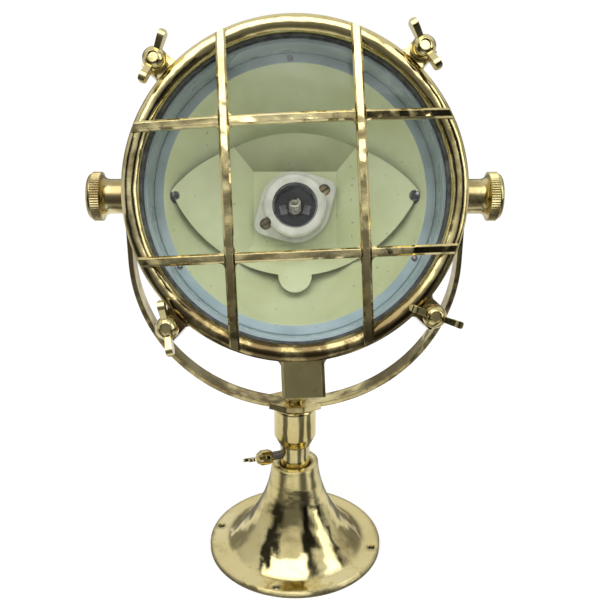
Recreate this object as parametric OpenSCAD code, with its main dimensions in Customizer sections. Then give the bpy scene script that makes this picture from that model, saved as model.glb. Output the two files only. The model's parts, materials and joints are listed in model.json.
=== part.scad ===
// Ship cargo light: a caged floodlight head in a U-shaped yoke that swivels on a trumpet-shaped foot.
// Millimetres. The foot stands on z = 0, the lamp looks along -Y and tilts about an axis along X.

/* [Foot] */
// Radius of the foot flange
foot_r = 63; // [60:0.5:72]
// Thickness of the foot flange
foot_t = 4; // [3:0.5:6]
// Width of the flat rim outside the flare
foot_rim = 13; // [11:0.5:16]
// Radius of the flare's arc in section
flare_arc_r = 94; // [80:1:140]
// Wall of the hollow flare
flare_wall = 4; // [3:0.5:5]
// Radius of the collar at the top of the flare
collar_r = 16.6; // [15.6:0.1:19]
// Height of the collar's rim
collar_z = 70; // [64:1:78]
// Bevel inside the collar's rim
collar_bevel = 2.4; // [0.5:0.1:3.5]
// Depth of the neck's bore in the collar
collar_bore_h = 24; // [20:1:30]
// Radius of the screw holes
foot_hole_r = 2.75; // [2:0.05:3.5]
// Distance of the screw holes from the flange's edge
foot_hole_edge = 5.5; // [4:0.1:7]
// Number of screw holes
foot_holes = 4; // [3:1:6]
// Turn of the first screw hole from X
foot_hole_turn = -13; // [-45:1:45]

/* [Neck and swivel] */
// Radius of the neck tube
neck_r = 10.4; // [9.5:0.1:11.5]
// Height of the neck above the collar
neck_out = 14.5; // [13.5:0.5:20]
// Wall of the locknut round the neck
locknut_wall = 3.1; // [2:0.1:4]
// Height of the locknut
locknut_h = 7; // [4:0.5:9]
// Length of the neck below the locknut
neck_tail = 2; // [0.5:0.5:6]
// Radius of the swivel spigot inside the neck
spigot_r = 7; // [6:0.1:8]
// Length of the swivel spigot
spigot_len = 42; // [25:1:46]
// Thickness of the swivel washer
swivel_washer_t = 1; // [0.6:0.1:3]
// Radius of the swivel washer
swivel_washer_r = 10.9; // [9.5:0.1:11.3]

/* [Lock screw] */
// Turn of the lock screw from -X towards the front
lock_turn = 18; // [0:1:40]
// Height of the lock screw above the collar
lock_rise = 6.6; // [6:0.1:8]
// Radius of the lock screw's shaft
lock_r = 3; // [2.5:0.1:3.5]
// Length of bare shaft between neck and wing head
lock_bare = 7; // [6.6:0.1:12]
// Radius of the wing head's body
lock_body_r = 5.4; // [4.5:0.1:5.9]
// Length of the wing head's body
lock_body_len = 11; // [8:0.5:14]
// Reach of the wings past the body
lock_wing_out = 8; // [4:0.5:12]
// Half span of the wings
lock_wing_half = 12.5; // [9:0.5:16]
// Thickness of the wings
lock_wing_t = 2.4; // [1.6:0.1:4]
// Turn of the wings about the screw, front side up
lock_wing_turn = 31; // [-90:1:90]
// Depth of the groove that the lock screw grips
lock_groove = 1; // [0.5:0.1:2]

/* [Stem sleeve] */
// Radius of the sleeve
sleeve_r = 14.7; // [13.5:0.1:16]
// Height of the sleeve up to the yoke
sleeve_h = 30; // [24:1:40]
// Radius of the sleeve's lower end
sleeve_foot_r = 11.4; // [11:0.1:13]
// Height of the taper at the sleeve's lower end
sleeve_taper = 7; // [3:0.5:12]
// Rounding of the sleeve's top edge
sleeve_round = 2.5; // [0.5:0.25:4]
// Radius of the stud above the sleeve
stem_stud_r = 4; // [3:0.25:4.5]
// Length of the stud above the nut
stem_stud_over = 2; // [0.5:0.5:3]

/* [Yoke] */
// Thickness of the strap
yoke_t = 3.2; // [2.5:0.1:5]
// Width of the strap
yoke_w = 12.5; // [10:0.5:18]
// Height of the tilt axis above the bend of the yoke
yoke_arm = 41.5; // [36:0.5:60]
// Radius of the eyes at the strap's ends
eye_r = 13; // [10:0.5:16]
// Length of the eight-sided pad in the middle of the strap
pad_len = 36; // [32:0.5:42]
// Depth of the pad, front to back
pad_d = 26; // [20:0.5:28]
// Width of the pad's front face
pad_face = 11; // [8:0.5:20]
// Width of the pad's ends
pad_end = 14; // [13:0.5:18]
// Thickness of the pad
pad_t = 4.3; // [3.6:0.1:6]
// Radius of the washer under the yoke nut
yoke_washer_r = 7.5; // [6.5:0.25:9]
// Thickness of the washer under the yoke nut
yoke_washer_t = 1.6; // [1:0.1:3]
// Width of the yoke nut across flats
yoke_nut_af = 13; // [11:0.5:17]
// Height of the yoke nut
yoke_nut_h = 6.5; // [5:0.5:9]

/* [Tilt knobs] */
// Radius of the knurled rim
knob_r = 15.5; // [13:0.5:20]
// Width of the knurled rim
knob_rim = 8.6; // [7:0.2:12]
// Rounding of the rim's outer edge
knob_edge_r = 3; // [1:0.25:4]
// Length of the rounded shoulder behind the rim
knob_shoulder = 5; // [4.8:0.2:12]
// Radius of the shank
knob_shank_r = 11; // [8:0.5:12.5]
// Length of the shank
knob_shank = 9; // [6:0.5:20]
// Grooves round the knurled rim
knurls = 60; // [30:2:80]
// Depth of the knurling
knurl_depth = 0.6; // [0.2:0.1:1]
// Radius of the trunnion stud
trunnion_r = 4; // [3:0.5:6]
// Depth of the stud in the knob
knob_grip = 16; // [12:1:18]

/* [Lamp body] */
// Tilt of the lamp axis above level
head_tilt = 20; // [0:1:40]
// Outer radius of the drum
drum_r = 91.5; // [88:0.5:95]
// Wall of the drum
drum_wall = 3.5; // [2.5:0.1:5]
// Length of the drum behind the tilt axis
drum_back = 30; // [25:1:40]
// Depth of the domed back
dome_depth = 48; // [40:1:60]
// Rounding between the drum and its domed back
back_edge_r = 14; // [6:0.5:20]
// Reach of the front flange outside the drum
flange_out = 10; // [8:0.5:14]
// Thickness of the front flange
flange_t = 10; // [9:0.5:14]
// Front of the flange ahead of the tilt axis
flange_front = 42; // [40:1:50]
// Height of the trunnion bosses over the drum
boss_out = 11.7; // [9:0.1:20]
// Radius of the trunnion bosses
boss_r = 13; // [9:0.5:16]
// Thickness of the friction washers beside the yoke
friction_t = 1.5; // [1:0.1:3]
// Width of the trunnion nuts across flats
trunnion_nut_af = 13; // [11:0.5:13.5]
// Height of the trunnion nuts
trunnion_nut_h = 4; // [3:0.2:4.4]

/* [Cable entry] */
// Width of the block
block_w = 26; // [22:0.5:30]
// Depth of the block along the lamp axis
block_d = 28; // [26:0.5:32]
// Reach of the block below the drum
block_drop = 32; // [28:0.5:34]
// Front of the block behind the flange's front
block_back = 2; // [1:0.5:6]
// Bevel along the block's upright edges
block_bevel = 2; // [0.5:0.25:4]
// Fillets where the block meets the drum and the flange
block_fillet = 6; // [2:0.5:9]
// Height of the cable's axis above the block's bottom
cable_rise = 12; // [11:0.5:14]
// Radius of the cable hole
cable_r = 4.5; // [3:0.25:5]
// Radius of the rubber seal
seal_r = 8; // [6.5:0.25:8.5]
// Length of the rubber seal
seal_len = 8; // [5:0.5:12]
// Width of the gland nut across flats
gland_af = 20; // [18:0.5:21]
// Length of the gland nut
gland_h = 9; // [5:0.5:14]

/* [Glass] */
// Thickness of the glass
glass_t = 4.5; // [3:0.5:5]
// Thickness of the gaskets
gasket_t = 1.5; // [1:0.1:2]
// Width of the gaskets that shows inside the front ring
gasket_show = 1; // [0.5:0.1:1.5]
// Width of the ledge that the glass rests on
glass_ledge = 6.5; // [4:0.5:7.5]

/* [Cage] */
// How far the front ring stands back from the drum's inner wall
ring_inset = 3; // [1.5:0.25:4]
// Width of the front ring
ring_w = 10.2; // [9:0.1:11]
// Height of the front ring
ring_h = 8.5; // [7.5:0.5:10]
// Height of the ring's inner and outer edges
ring_edge_h = 5.5; // [5.2:0.1:6]
// Distance of the bars from the lamp axis
bar_place = 39; // [30:0.5:46]
// Width of the bars
bar_w = 6; // [4:0.25:9]
// Thickness of the bars
bar_t = 4; // [3:0.25:6]
// Bevel along the bars' front edges
bar_bevel = 1.2; // [0.4:0.1:1.8]
// Rise of the bars from the ring to the middle
bar_rise = 8; // [4:0.5:20]
// Depth to which the bars are let into the ring
bar_let_in = 1.5; // [0.5:0.1:2.5]
// Distance of the bars' ends from the ring's outer edge
bar_short = 1.5; // [0.5:0.25:3]
// Brazed fillets in the corners of the crossings
braze_r = 3; // [1:0.25:5]
// Turn of the cage and its clamps about the lamp axis
cage_turn = 2.5; // [-5:0.5:5]

/* [Clamps] */
// Distance of the clamp bolts outside the flange
clamp_out = 8.2; // [7.4:0.1:12]
// Radius of the swing bolts
bolt_r = 3; // [2.5:0.1:3.5]
// Radius of the swing bolt's eye
bolt_eye_r = 5; // [4:0.25:5.75]
// Thickness of the swing bolt's eye
bolt_eye_t = 6.8; // [6.4:0.1:8]
// Radius of the clamp pins
pin_r = 2; // [1.5:0.1:2.5]
// Thickness of one lug cheek
cheek_t = 3.6; // [2.5:0.1:5]
// Fillets where lugs and ears meet the round rims
lug_fillet = 4; // [1:0.5:6]
// Half height of the lugs, which the pins sit in the middle of
lug_half = 6; // [5:0.25:7]
// Thickness of the ring's ears
ear_t = 5; // [3.5:0.25:6.5]
// Reach of the ears past the bolt axis
ear_over = 4.5; // [1:0.25:5.5]
// Radius of the wing nut's domed body
nut_body_r = 7; // [6:0.25:8]
// Height of the wing nut's body
nut_h = 11; // [9:0.5:14]
// Half span of the wing nut's wings
nut_wing_half = 16.5; // [12:0.5:20]
// Radius of the rounded wing ends
nut_wing_end_r = 3.8; // [2.4:0.1:4.5]
// Thickness of the wings at their ends
nut_wing_t = 4.2; // [2.4:0.1:5]
// Thickness of the wings at the body
nut_root_t = 3.2; // [2:0.1:4]
// Turn of the wing nuts from the tangent, anticlockwise from the upper right one
nut_turns = [-17, 18, -37, -67];
// Depth of the bolt's end below the top of the wing nut
bolt_under = 2.4; // [0.4:0.2:4]

/* [Reflector] */
// Sheet thickness of the reflector and the lamp carrier
sheet_t = 1.2; // [0.8:0.1:2]
// Width of the reflector's flat rim
dish_rim = 6.2; // [5:0.2:7]
// Rim of the reflector behind the flange's front
dish_sink = 30.8; // [29:0.2:33]
// Depth of the reflector's bowl
dish_sag = 57; // [54:0.5:62]
// Height of the ledge behind the reflector's rim
ledge_h = 3; // [2:0.25:3]
// Width of the ledge behind the reflector's rim
ledge_w = 4; // [3:0.25:4.5]
// Radius of the holes at the tilt axis
dish_hole_r = 4.5; // [3.5:0.25:6]
// Turn of the first rim screw from X
rim_screw_turn = -28; // [-45:1:45]
// Number of rim screws
rim_screws = 3; // [2:1:8]
// Radius of the rim screws' heads
rim_screw_head_r = 2; // [1.5:0.1:2.6]
// Radius of the rim screws
rim_screw_r = 1.2; // [0.8:0.1:1.4]

/* [Lamp carrier] */
// Drop of the carrier and the lampholder below the lamp axis
holder_drop = 5; // [0:0.5:8]
// Reach of the lens-shaped plate above the lampholder's axis
carrier_top = 48; // [40:0.5:52]
// Reach of the lens-shaped plate below the lampholder's axis
carrier_low = 45.5; // [38:0.5:48]
// Height of the plate's tips above the lampholder's axis
tip_rise = 8; // [0:0.5:12]
// Flat floor left round the porcelain foot
floor_margin = 1; // [0.5:0.25:4]
// Floor of the carrier behind the tilt axis
floor_back = 32; // [30:0.5:33]
// Slope of the side facets
side_slope = 0.72; // [0.5:0.01:0.78]
// Slope of the upper and lower facets
top_slope = 0.6; // [0.3:0.01:0.7]
// Width of the tongue below the plate
tongue_w = 22; // [14:0.5:30]
// Reach of the tongue below the plate
tongue_out = 11; // [6:0.5:14]
// Radius of the pillars behind the carrier
pillar_r = 4; // [3:0.25:6]

/* [Lampholder] */
// Radius of the porcelain barrel
barrel_r = 20.5; // [18.5:0.25:22]
// Height of the porcelain above the carrier
porcelain_h = 25; // [21:0.5:28]
// Radius of the porcelain foot
porcelain_foot_r = 23.5; // [21:0.25:25]
// Height of the porcelain foot
porcelain_foot_h = 9; // [7.5:0.5:12]
// Radius of the socket's opening
socket_r = 14.6; // [14:0.1:15.5]
// Thickness of the porcelain floor
porcelain_floor = 5; // [3:0.5:8]
// Rounding of the porcelain rim
rim_round = 2.5; // [1:0.25:3.5]
// Distance of the holder screws from the socket's axis
holder_screw_place = 22.4; // [21:0.2:25]
// Turn of the holder screws from X
holder_turn = 30; // [0:1:60]
// Radius of the ears round the holder screws
holder_ear_r = 7.5; // [6.5:0.25:9]
// Radius of the holder screws' heads
holder_head_r = 3.6; // [3:0.1:4.2]
// Height of the holder screws' heads
holder_head_h = 2.4; // [1.5:0.1:3]
// Radius of the holder screws
holder_screw_r = 2; // [1.5:0.1:2.5]
// Depth of the recess over a holder screw
holder_recess = 5; // [3:0.25:6]
// Wall of the screw shell
shell_t = 0.7; // [0.5:0.1:1]
// Height of the screw shell
shell_h = 17; // [12:0.5:19]
// Width of the shell's side windows
shell_window = 9; // [5:0.5:14]
// Radius of the contact plate
contact_plate_r = 7; // [6:0.25:9]
// Thickness of the contact plate
contact_plate_t = 0.8; // [0.5:0.1:1.5]
// Turns of the contact spring
spring_turns = 5; // [3:1:6]
// Wire radius of the contact spring
spring_wire_r = 0.6; // [0.4:0.05:0.7]
// Rise of the contact spring in one turn
spring_pitch = 2.2; // [2:0.1:2.6]
// Coil radius at the foot of the contact spring
spring_foot_r = 4.2; // [3.4:0.1:5]
// Coil radius at the tip of the contact spring
spring_tip_r = 2.2; // [1.8:0.1:3]

/* [Fits] */
// Radial clearance of pins, shafts and spigots that turn
turn_fit = 0.05; // [0.02:0.01:0.1]
// Radial clearance of pieces that are pressed or screwed together
tight_fit = 0.02; // [0.01:0.01:0.05]
// Gap between flat faces that turn on each other
face_gap = 0.1; // [0.05:0.05:0.3]
// Gap beside pieces that swing or lie loose
side_gap = 0.3; // [0.2:0.05:0.5]

/* [Hidden] */
$fn = 64;
brass = "#c9a24a";
steel = "#55534e";
enamel = "#b9c79c";
rubber = "#23241f";
porcelain = "#e6e6d8";
past = 1;

flare_foot_r = foot_r - foot_rim;
flare_chord = [flare_foot_r - collar_r, foot_t - collar_z];
flare_reach = sqrt(flare_arc_r * flare_arc_r - flare_chord * flare_chord / 4);
flare_normal = [-flare_chord[1], flare_chord[0]] / norm(flare_chord);
flare_center = [collar_r, collar_z] + flare_chord / 2 + flare_normal * flare_reach;
collar_seat_z = collar_z - collar_bore_h;
neck_top_z = collar_z + neck_out;
neck_low_z = collar_seat_z - locknut_h - neck_tail;
lock_z = collar_z + lock_rise;
lock_tip = spigot_r - lock_groove + side_gap;
lock_head_x = neck_r + lock_bare;
lock_end_x = lock_head_x + lock_body_len - 2;
sleeve_z = neck_top_z + swivel_washer_t;

boss_x = drum_r + boss_out;
yoke_inner = boss_x + friction_t + face_gap;
yoke_outer = yoke_inner + yoke_t;
yoke_bend_z = sleeve_z + sleeve_h + yoke_outer;
yoke_seat_z = yoke_bend_z - yoke_outer + pad_t;
yoke_nut_z = yoke_seat_z + yoke_washer_t;
trunnion_z = yoke_bend_z + yoke_arm;
knob_x = yoke_outer + face_gap;
stud_out_x = knob_x + knob_grip;

drum_in_r = drum_r - drum_wall;
trunnion_nut_x = drum_in_r - drum_in_r * (1 - cos(asin(trunnion_nut_af / sqrt(3) / drum_in_r))) - face_gap;
dome_r = (drum_r * drum_r + dome_depth * dome_depth) / (2 * dome_depth);
dome_center = dome_r - drum_back - dome_depth;
back_edge_x = drum_r - back_edge_r;
back_edge_z = dome_center - sqrt(pow(dome_r - back_edge_r, 2) - back_edge_x * back_edge_x);
flange_r = drum_r + flange_out;
flange_low = flange_front - flange_t;
rebate_r = drum_in_r + glass_ledge;
rebate_z = flange_front - glass_t - 2 * gasket_t;
glass_r = rebate_r - side_gap;

ring_in_r = drum_in_r + ring_inset;
ring_r = ring_in_r + ring_w;
gasket_in_r = ring_in_r - gasket_show;
ring_front = flange_front + ring_h;
crest_place = ring_in_r + ring_w / 2;
crest_rise = ring_h - ring_edge_h;
crest_r = (ring_w * ring_w / 4 + crest_rise * crest_rise) / (2 * crest_rise);
bar_half = sqrt(crest_place * crest_place - bar_place * bar_place);
bar_arc_r = (bar_half * bar_half + bar_rise * bar_rise) / (2 * bar_rise);
bar_arc_z = ring_front + bar_t - bar_let_in + bar_rise - bar_arc_r;
lap_z = bar_arc_z + sqrt(bar_arc_r * bar_arc_r - bar_place * bar_place) - bar_t / 2;

clamp_r = flange_r + clamp_out;
pin_z = flange_front - lug_half;
fork_gap = bolt_eye_t + 2 * side_gap;
lug_w = fork_gap + 2 * cheek_t;
ear_top = flange_front + ear_t;
nut_z = ear_top + face_gap;
bolt_top = nut_z + nut_h - bolt_under;

dish_rim_z = flange_front - dish_sink;
dish_out_r = drum_in_r - side_gap;
dish_rim_r = dish_out_r - dish_rim;
bowl_r = (dish_rim_r * dish_rim_r + dish_sag * dish_sag) / (2 * dish_sag);
bowl_center = dish_rim_z - dish_sag + bowl_r;
ledge_z = dish_rim_z - sheet_t;
rim_screw_place = dish_rim_r + dish_rim / 2;

floor_z = sheet_t - floor_back;
floor_half_x = max(porcelain_foot_r, holder_screw_place * cos(holder_turn) + holder_ear_r) + floor_margin;
floor_half_y = max(porcelain_foot_r, holder_screw_place * sin(holder_turn) + holder_ear_r) + floor_margin;
// The tips end where the side facets come close to the bowl
tip_start = floor_z - sheet_t - side_slope * floor_half_x - bowl_center;
tip_steep = 1 + side_slope * side_slope;
tip_reach = pow(bowl_r - side_gap, 2) - pow(tip_rise - holder_drop, 2) - tip_start * tip_start;
tip_sweep = sqrt(pow(side_slope * tip_start, 2) + tip_steep * tip_reach);
carrier_tip = (tip_sweep - side_slope * tip_start) / tip_steep;
upper_arc_r = (pow(carrier_tip, 2) + pow(carrier_top - tip_rise, 2)) / (2 * (carrier_top - tip_rise));
lower_arc_r = (pow(carrier_tip, 2) + pow(carrier_low + tip_rise, 2)) / (2 * (carrier_low + tip_rise));
socket_floor = floor_z + porcelain_floor;
holder_head_z = floor_z + porcelain_foot_h - holder_recess;
spring_z = socket_floor + contact_plate_t + spring_wire_r;

block_low = drum_r + block_drop;
block_z = flange_front - block_back - block_d;
cable_y = cable_rise - block_low;

// Places in the head: x to the right, y up and z forward along the lamp axis
module head_frame() {
  translate([0, 0, trunnion_z]) rotate([90 - head_tilt, 0, 0]) children();
}

// Clamp places are counted anticlockwise from the upper right; x points out from the lamp axis
module clamp_frame(place) {
  head_frame() rotate([0, 0, 45 + 90 * place + cage_turn]) children();
}

module holder_frame() {
  head_frame() translate([0, -holder_drop, 0]) children();
}

// Lock screw places: x runs out along the screw and z is up
module lock_frame() {
  translate([0, 0, lock_z]) rotate([0, 0, 180 + lock_turn]) children();
}

module along_x() {
  rotate([0, 90, 0]) children();
}

module along_y() {
  rotate([-90, 0, 0]) children();
}

module both_sides() {
  for (side = [0, 1]) mirror([side, 0, 0]) children();
}

module hexagon(across_flats) {
  circle(r = across_flats / sqrt(3), $fn = 6);
}

// Hexagon nut along z, bevelled at both ends by a turned outline
module hex_nut(across_flats, height, bore) {
  corner = across_flats / sqrt(3);
  bevel = (corner - across_flats / 2) * 0.6;
  difference() {
    intersection() {
      linear_extrude(height) hexagon(across_flats);
      rotate_extrude() polygon([
        [0, 0], [corner - bevel * 1.7, 0], [corner, bevel], [corner, height - bevel],
        [corner - bevel * 1.7, height], [0, height]
      ]);
    }
    translate([0, 0, -past]) cylinder(r = bore, h = height + 2 * past);
  }
}

// Two circles and the tangents between them
module tapered_link(p, p_r, q, q_r) {
  way = q - p;
  turn = atan2(way[1], way[0]);
  spread = acos((p_r - q_r) / norm(way));
  translate(p) circle(r = p_r);
  translate(q) circle(r = q_r);
  polygon([
    p + p_r * [cos(turn + spread), sin(turn + spread)],
    p + p_r * [cos(turn - spread), sin(turn - spread)],
    q + q_r * [cos(turn - spread), sin(turn - spread)],
    q + q_r * [cos(turn + spread), sin(turn + spread)]
  ]);
}

module washer(outer, inner, height) {
  difference() {
    cylinder(r = outer, h = height);
    translate([0, 0, -past]) cylinder(r = inner, h = height + 2 * past);
  }
}

// Half section inside the flare's arc, set back by a wall
module flare_section(low, high, wall) {
  difference() {
    translate([0, low]) square([flare_foot_r, high - low]);
    translate(flare_center) circle(r = flare_arc_r + wall, $fn = 128);
  }
}

module base_pedestal() {
  color(brass) difference() {
    rotate_extrude() difference() {
      union() {
        polygon([[0, 0], [foot_r, 0], [foot_r, foot_t * 0.7], [foot_r - foot_t * 0.3, foot_t], [0, foot_t]]);
        flare_section(0, collar_z, 0);
      }
      flare_section(-past, collar_seat_z, flare_wall);
      square([neck_r + tight_fit, collar_z + past]);
      polygon([
        [0, collar_z - collar_bevel], [neck_r, collar_z - collar_bevel],
        [neck_r + collar_bevel + past, collar_z + past], [0, collar_z + past]
      ]);
    }
    for (hole = [0 : foot_holes - 1])
      rotate([0, 0, foot_hole_turn + hole * 360 / foot_holes])
        translate([foot_r - foot_hole_edge, 0, -past]) cylinder(r = foot_hole_r, h = foot_t + 2 * past);
  }
}

module neck_tube() {
  color(brass) difference() {
    translate([0, 0, neck_low_z]) washer(neck_r, spigot_r + turn_fit, neck_top_z - neck_low_z);
    lock_frame() along_x() cylinder(r = lock_r + turn_fit, h = neck_r + past);
  }
}

module neck_locknut() {
  color(brass) translate([0, 0, collar_seat_z - locknut_h])
    hex_nut(2 * (neck_r + locknut_wall), locknut_h, neck_r + tight_fit);
}

module swivel_washer() {
  color(steel) translate([0, 0, neck_top_z + face_gap])
    washer(swivel_washer_r, spigot_r + turn_fit, swivel_washer_t - face_gap);
}

module lock_stud() {
  color(steel) lock_frame() along_x() rotate_extrude() polygon([
    [0, lock_tip], [lock_r - lock_groove, lock_tip], [lock_r, lock_tip + lock_groove],
    [lock_r, lock_end_x], [0, lock_end_x]
  ]);
}

module lock_wing() {
  body_end = lock_head_x + lock_body_len;
  wing_end = body_end + lock_wing_out;
  wing_r = lock_wing_out * 0.42;
  color(brass) lock_frame() difference() {
    union() {
      along_x() rotate_extrude() polygon([
        [0, lock_head_x], [lock_body_r * 0.78, lock_head_x], [lock_body_r, lock_head_x + lock_body_len * 0.2],
        [lock_body_r, lock_head_x + lock_body_len * 0.7], [lock_body_r * 0.6, body_end], [0, body_end]
      ]);
      rotate([lock_wing_turn, 0, 0]) linear_extrude(lock_wing_t, center = true)
        for (side = [-1, 1])
          tapered_link(
            [lock_head_x + lock_body_len * 0.55, side * lock_body_r * 0.45], lock_body_r * 0.5,
            [wing_end - wing_r, side * (lock_wing_half - wing_r)], wing_r
          );
    }
    along_x() cylinder(r = lock_r + tight_fit, h = lock_end_x + face_gap);
  }
}

module stem_sleeve() {
  low = sleeve_z - spigot_len;
  top = sleeve_z + sleeve_h;
  stud_top = yoke_nut_z + yoke_nut_h + stem_stud_over;
  shoulder = sleeve_r - sleeve_round;
  color(brass) rotate_extrude() {
    polygon([
      [0, low], [spigot_r - lock_groove, low], [spigot_r, low + lock_groove],
      [spigot_r, lock_z - lock_r - lock_groove], [spigot_r - lock_groove, lock_z - lock_r],
      [spigot_r - lock_groove, lock_z + lock_r], [spigot_r, lock_z + lock_r + lock_groove],
      [spigot_r, sleeve_z], [sleeve_foot_r, sleeve_z], [sleeve_r, sleeve_z + sleeve_taper],
      [sleeve_r, top - sleeve_round], [shoulder, top],
      [stem_stud_r, top], [stem_stud_r, stud_top], [0, stud_top]
    ]);
    translate([shoulder, top - sleeve_round]) circle(r = sleeve_round);
  }
}

module yoke_strap() {
  color(brass) difference() {
    union() {
      translate([0, 0, yoke_bend_z]) rotate([90, 0, 0]) linear_extrude(yoke_w, center = true) difference() {
        union() {
          circle(r = yoke_outer, $fn = 128);
          translate([-yoke_outer, 0]) square([2 * yoke_outer, yoke_arm]);
        }
        circle(r = yoke_inner, $fn = 128);
        translate([-yoke_inner, 0]) square([2 * yoke_inner, yoke_outer + yoke_arm]);
      }
      translate([0, 0, yoke_bend_z - yoke_outer]) linear_extrude(pad_t) polygon([
        [-pad_len, -pad_end] / 2, [-pad_face, -pad_d] / 2, [pad_face, -pad_d] / 2, [pad_len, -pad_end] / 2,
        [pad_len, pad_end] / 2, [pad_face, pad_d] / 2, [-pad_face, pad_d] / 2, [-pad_len, pad_end] / 2
      ]);
      both_sides() translate([yoke_inner, 0, trunnion_z]) along_x() cylinder(r = eye_r, h = yoke_t);
    }
    translate([0, 0, trunnion_z]) along_x()
      cylinder(r = trunnion_r + turn_fit, h = 3 * yoke_outer, center = true);
    translate([0, 0, yoke_seat_z - 2 * pad_t]) cylinder(r = stem_stud_r + tight_fit, h = 3 * pad_t);
  }
}

module yoke_washer() {
  color(brass) translate([0, 0, yoke_seat_z]) washer(yoke_washer_r, stem_stud_r + tight_fit, yoke_washer_t);
}

module yoke_nut() {
  color(brass) translate([0, 0, yoke_nut_z]) hex_nut(yoke_nut_af, yoke_nut_h, stem_stud_r + tight_fit);
}

// Half section of the drum with its rounded edge and domed back, set in by a wall
module drum_outline(inset) {
  center = [0, dome_center];
  edge = [back_edge_x, back_edge_z];
  translate([0, back_edge_z]) square([drum_r - inset, flange_front - back_edge_z]);
  translate(edge) circle(r = back_edge_r - inset);
  intersection() {
    translate(center) circle(r = dome_r - inset, $fn = 128);
    polygon([center, center + (edge - center) * 2, [0, dome_center - 2 * dome_r]]);
  }
}

module drum_section() {
  translate([0, flange_low]) square([flange_r, flange_t]);
  intersection() {
    drum_outline(0);
    translate([0, -drum_back - dome_depth]) square([drum_r, drum_back + dome_depth + flange_front]);
  }
}

// Half section of the drum's inside, with the glass rebate and the reflector's ledge
module drum_hollow() {
  translate([0, rebate_z]) square([rebate_r, flange_front - rebate_z + past]);
  difference() {
    intersection() {
      drum_outline(drum_wall);
      translate([0, -drum_back - dome_depth]) square([drum_r, drum_back + dome_depth + flange_front]);
    }
    translate([drum_in_r - ledge_w, ledge_z - ledge_h]) square([ledge_w + past, ledge_h]);
  }
}

// Two fillets where a straight-sided piece stands out along x from a round wall; they sink into both
module root_fillets(wall_r, half_w, fillet_r) {
  sink = 0.3;
  reach = wall_r - sink + fillet_r;
  rise = half_w - sink + fillet_r;
  middle = [sqrt(reach * reach - rise * rise), rise];
  touch = middle * (wall_r - sink) / reach;
  for (side = [0, 1]) mirror([0, side]) difference() {
    polygon([[middle[0], half_w - past], middle, touch, [touch[0] - fillet_r, half_w - past]]);
    translate(middle) circle(r = fillet_r);
  }
}

// One fork lug, with the pin across it
module clamp_lug() {
  difference() {
    union() {
      translate([drum_in_r, -lug_w / 2, pin_z - lug_half]) cube([clamp_r - drum_in_r, lug_w, 2 * lug_half]);
      translate([clamp_r, 0, pin_z]) along_y() cylinder(r = lug_half, h = lug_w, center = true);
      translate([0, 0, flange_low]) linear_extrude(flange_t)
        root_fillets(flange_r, lug_w / 2, lug_fillet);
    }
    translate([clamp_r - bolt_eye_r - side_gap, -fork_gap / 2, pin_z - lug_half - past])
      cube([bolt_eye_r + 2 * lug_half, fork_gap, 2 * lug_half + 2 * past]);
    translate([clamp_r, 0, pin_z]) along_y()
      cylinder(r = pin_r + tight_fit, h = lug_w + 2 * past, center = true);
  }
}

module lamp_body() {
  color(brass) difference() {
    union() {
      head_frame() difference() {
        union() {
          rotate_extrude($fn = 128) drum_section();
          both_sides() along_x() cylinder(r = boss_r, h = boss_x);
        }
        rotate_extrude($fn = 128) drum_hollow();
      }
      for (place = [0 : 3]) clamp_frame(place) difference() {
        clamp_lug();
        rotate_extrude($fn = 128) drum_hollow();
      }
    }
    head_frame() along_x() cylinder(r = trunnion_r + tight_fit, h = 2 * boss_x + past, center = true);
    head_frame() rotate([0, 0, cage_turn]) translate([0, 0, block_z + block_d / 2]) rotate([90, 0, 0])
      cylinder(r = cable_r, h = block_low);
  }
}

module friction_washers() {
  color(rubber) head_frame() both_sides() translate([boss_x, 0, 0]) along_x()
    washer(boss_r, trunnion_r + turn_fit, friction_t);
}

module trunnion_studs() {
  inner = trunnion_nut_x - trunnion_nut_h;
  color(steel) head_frame() both_sides() translate([inner, 0, 0]) along_x()
    cylinder(r = trunnion_r, h = stud_out_x - inner);
}

module trunnion_nuts() {
  color(steel) head_frame() both_sides() translate([trunnion_nut_x - trunnion_nut_h, 0, 0]) along_x()
    rotate([0, 0, 90]) hex_nut(trunnion_nut_af, trunnion_nut_h, trunnion_r + tight_fit);
}

module clamp_pins() {
  color(steel) for (place = [0 : 3]) clamp_frame(place)
    translate([clamp_r, 0, pin_z]) along_y() cylinder(r = pin_r, h = lug_w, center = true);
}

module cable_frame() {
  head_frame() rotate([0, 0, cage_turn]) translate([0, cable_y, block_z]) children();
}

module cable_entry_block() {
  half = block_w / 2;
  top = -cable_y;
  color(brass) difference() {
    union() {
      cable_frame() translate([0, -cable_rise, 0]) rotate([-90, 0, 0]) linear_extrude(top) polygon([
        [-half, -block_bevel], [-half + block_bevel, 0], [half - block_bevel, 0], [half, -block_bevel],
        [half, block_bevel - block_d], [half - block_bevel, -block_d],
        [block_bevel - half, -block_d], [-half, block_bevel - block_d]
      ]);
      head_frame() rotate([0, 0, cage_turn - 90]) {
        translate([0, 0, block_z + block_bevel]) linear_extrude(flange_low - block_z - block_bevel)
          root_fillets(drum_r, half, block_fillet);
        translate([0, 0, flange_low]) linear_extrude(flange_front - block_back - block_bevel - flange_low)
          root_fillets(flange_r, half, block_fillet);
      }
    }
    head_frame() translate([0, 0, -drum_back])
      cylinder(r = drum_r + tight_fit, h = drum_back + flange_front, $fn = 128);
    head_frame() translate([0, 0, flange_low - tight_fit])
      cylinder(r = flange_r + tight_fit, h = flange_t + past, $fn = 128);
    cable_frame() translate([0, 0, -past]) cylinder(r = seal_r + tight_fit, h = seal_len + past);
    cable_frame() cylinder(r = cable_r, h = block_d / 2);
    cable_frame() translate([0, 0, block_d / 2]) rotate([-90, 0, 0]) cylinder(r = cable_r, h = top);
  }
}

module cable_seal() {
  color(rubber) cable_frame() washer(seal_r, cable_r, seal_len);
}

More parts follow.
